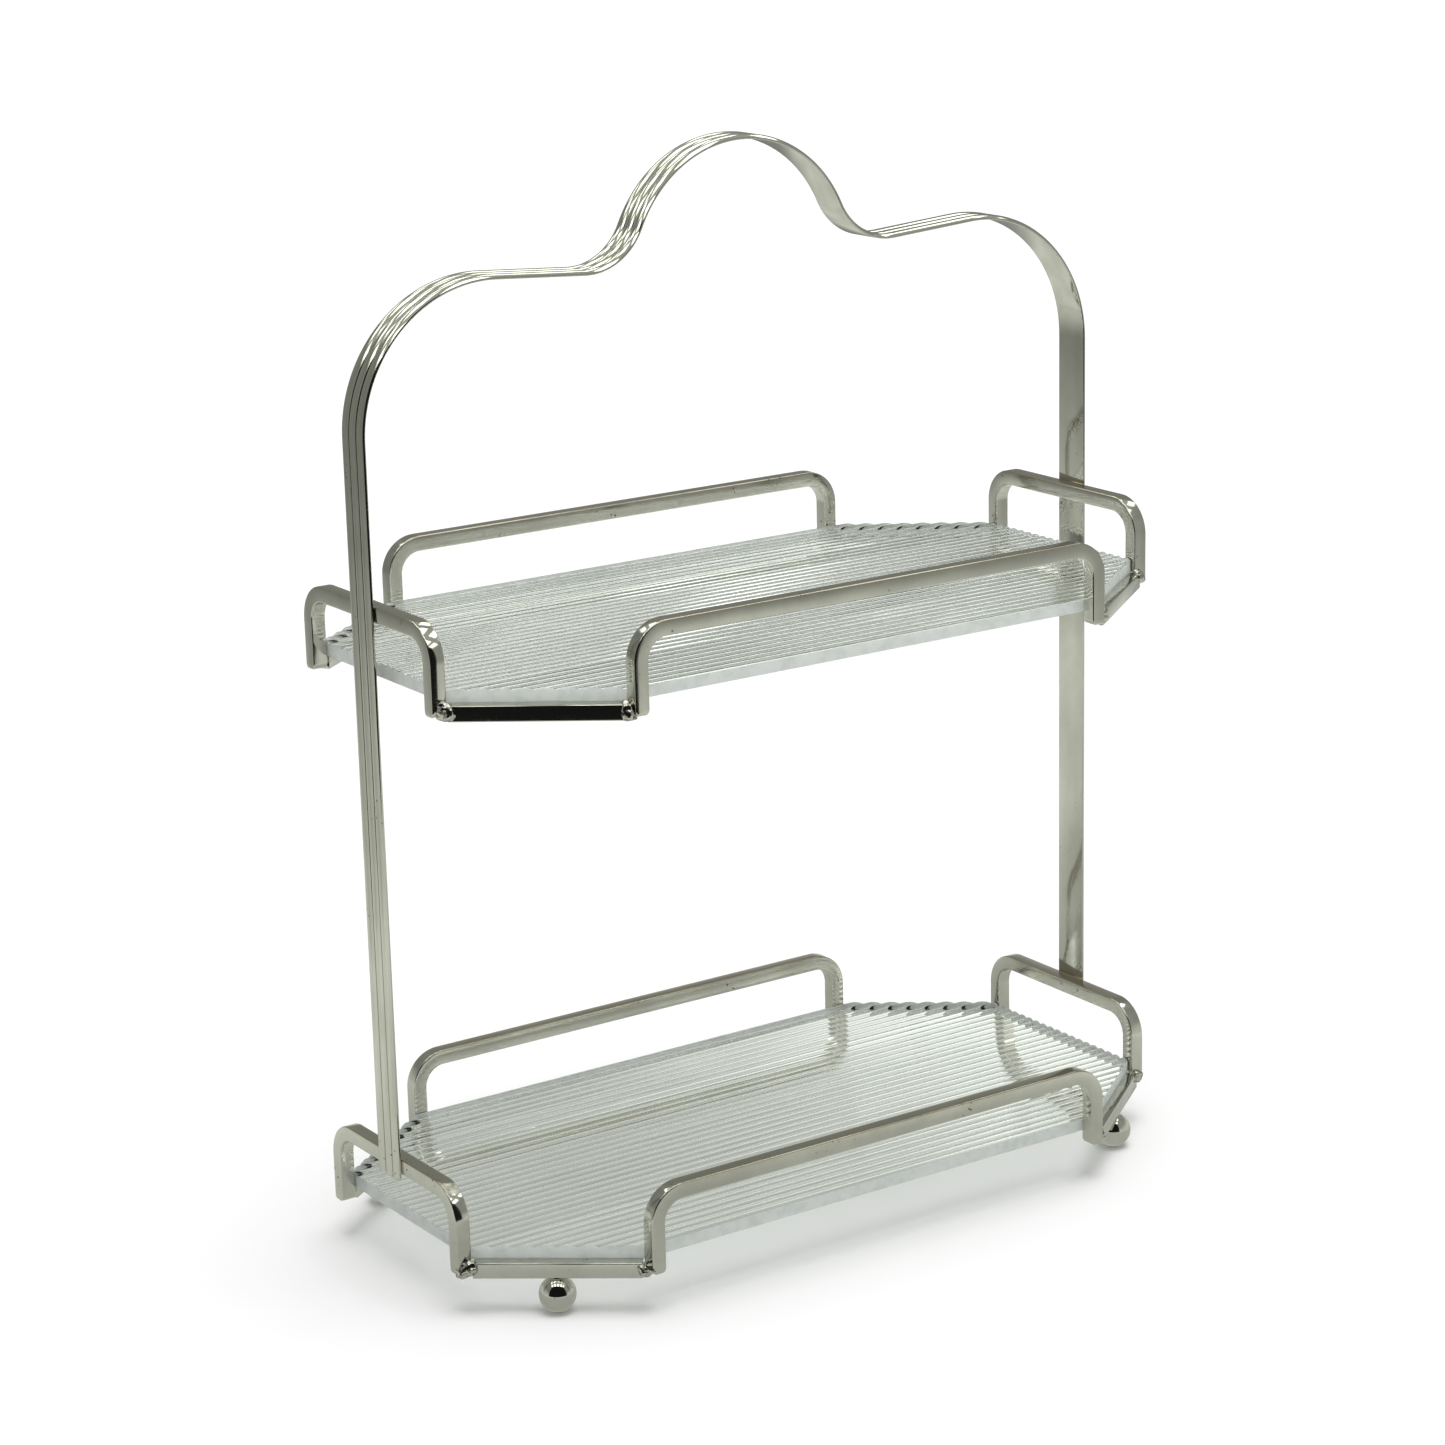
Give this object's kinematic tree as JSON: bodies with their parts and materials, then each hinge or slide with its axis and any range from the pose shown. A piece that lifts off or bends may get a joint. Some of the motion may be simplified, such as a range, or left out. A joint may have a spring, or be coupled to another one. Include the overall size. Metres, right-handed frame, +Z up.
{
  "type": "tiered cake stand",
  "caption": "Table-top tiered cake stand: fluted clear panels lie in open square-bar trays held between the legs of a flat reeded strip that is bent into a carrying arch.",
  "frame": {"origin": "on the table, under the middle of the stand: the bottom centre of its box", "axes": "+X along the trays from the left end rail to the right end rail, +Y from the front rail to the back rail, +Z up"},
  "size_m": [0.2792, 0.1526, 0.3495],
  "materials": {
    "nickel_bar": "nickel-plated drawn square bar, satin sheen with bright arrises",
    "nickel_strip": "nickel-plated reeded strip, bright with fine drawing lines along it",
    "polished_ball": "polished nickel-plated ball",
    "solder": "lumpy plated solder bead, dull with bright spots",
    "clear_acrylic": "clear cast acrylic, fluted on top, with faintly green edges"
  },
  "bodies": {
    "frame": {"handle_arch": "nickel_strip", "arch_solder": "solder", "lower_front_rail": "nickel_bar", "lower_back_rail": "nickel_bar", "lower_left_rail": "nickel_bar", "lower_right_rail": "nickel_bar", "upper_front_rail": "nickel_bar", "upper_back_rail": "nickel_bar", "upper_left_rail": "nickel_bar", "upper_right_rail": "nickel_bar", "lower_front_left_corner_bar": "nickel_bar", "lower_front_right_corner_bar": "nickel_bar", "lower_back_left_corner_bar": "nickel_bar", "lower_back_right_corner_bar": "nickel_bar", "upper_front_left_corner_bar": "nickel_bar", "upper_front_right_corner_bar": "nickel_bar", "upper_back_left_corner_bar": "nickel_bar", "upper_back_right_corner_bar": "nickel_bar", "lower_corner_welds": "solder", "upper_corner_welds": "solder", "front_left_foot": "polished_ball", "front_right_foot": "polished_ball", "back_left_foot": "polished_ball", "back_right_foot": "polished_ball"},
    "lower_panel": {"lower_panel": "clear_acrylic"},
    "upper_panel": {"upper_panel": "clear_acrylic"}
  },
  "joints": [
    {"name": "lower_panel_lift", "type": "slide", "parent": "frame", "child": "lower_panel", "axis": [0, 0, 1], "range_m": [0, 0.05]},
    {"name": "upper_panel_lift", "type": "slide", "parent": "frame", "child": "upper_panel", "axis": [0, 0, 1], "range_m": [0, 0.05]}
  ]
}
